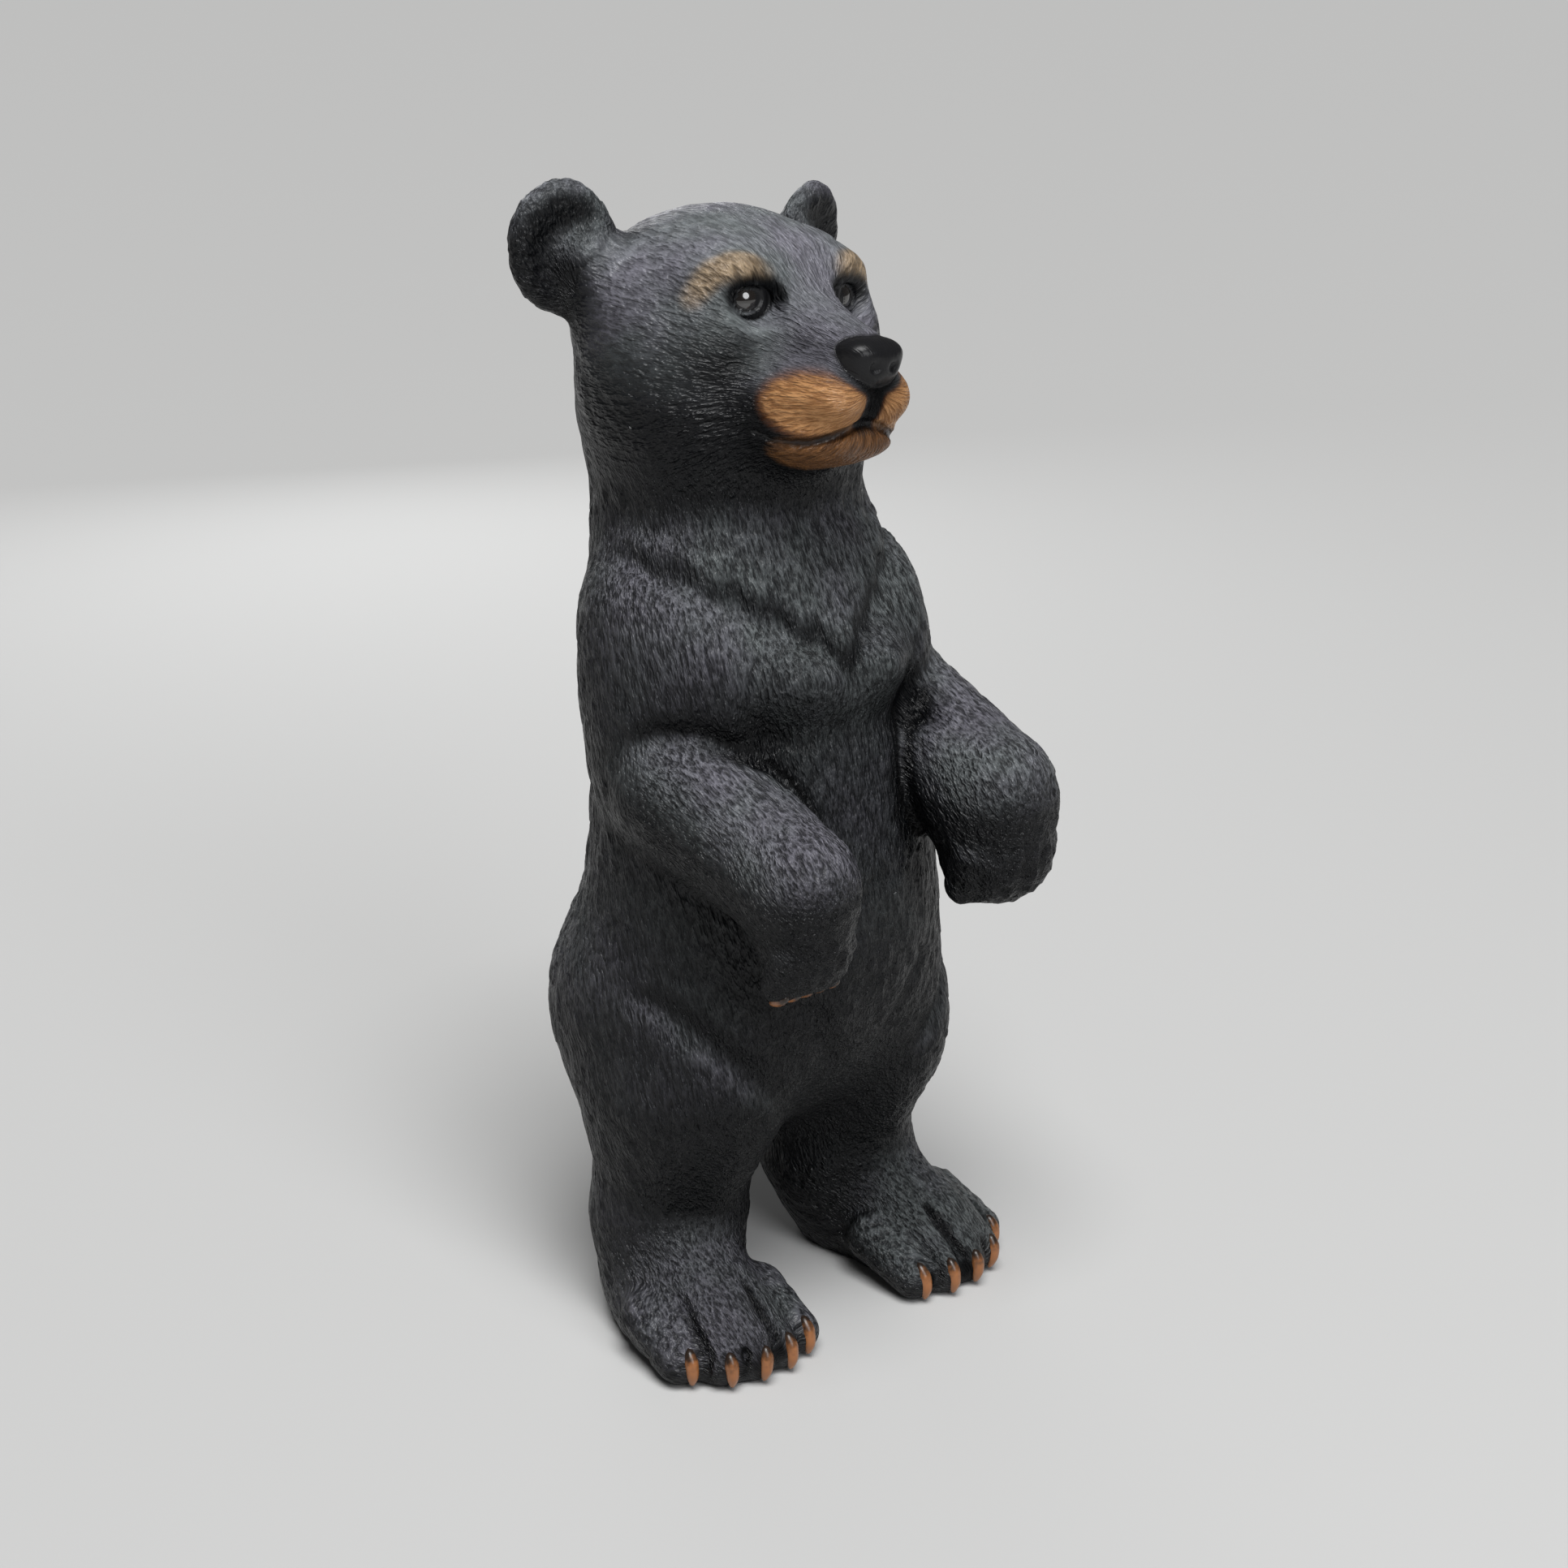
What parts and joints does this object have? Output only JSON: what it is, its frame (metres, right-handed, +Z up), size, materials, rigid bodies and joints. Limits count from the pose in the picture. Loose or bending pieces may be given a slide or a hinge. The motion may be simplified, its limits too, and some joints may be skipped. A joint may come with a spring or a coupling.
{
  "type": "garden statue of a bear",
  "caption": "Upright bear cub for a garden, cast in one piece of resin: it stands on its hind feet with its paws hanging in front of it and its head raised.",
  "frame": {"origin": "middle of the statue's footprint, on the ground under its soles", "axes": "+Z up, the bear faces -Y, its left side is towards +X"},
  "size_m": [0.3759, 0.3732, 0.9435],
  "materials": {
    "resin": "hand-painted semi-gloss polyresin, charcoal black with tan muzzle, brows and claws"
  },
  "bodies": {
    "root": {"bear": "resin"}
  },
  "joints": []
}
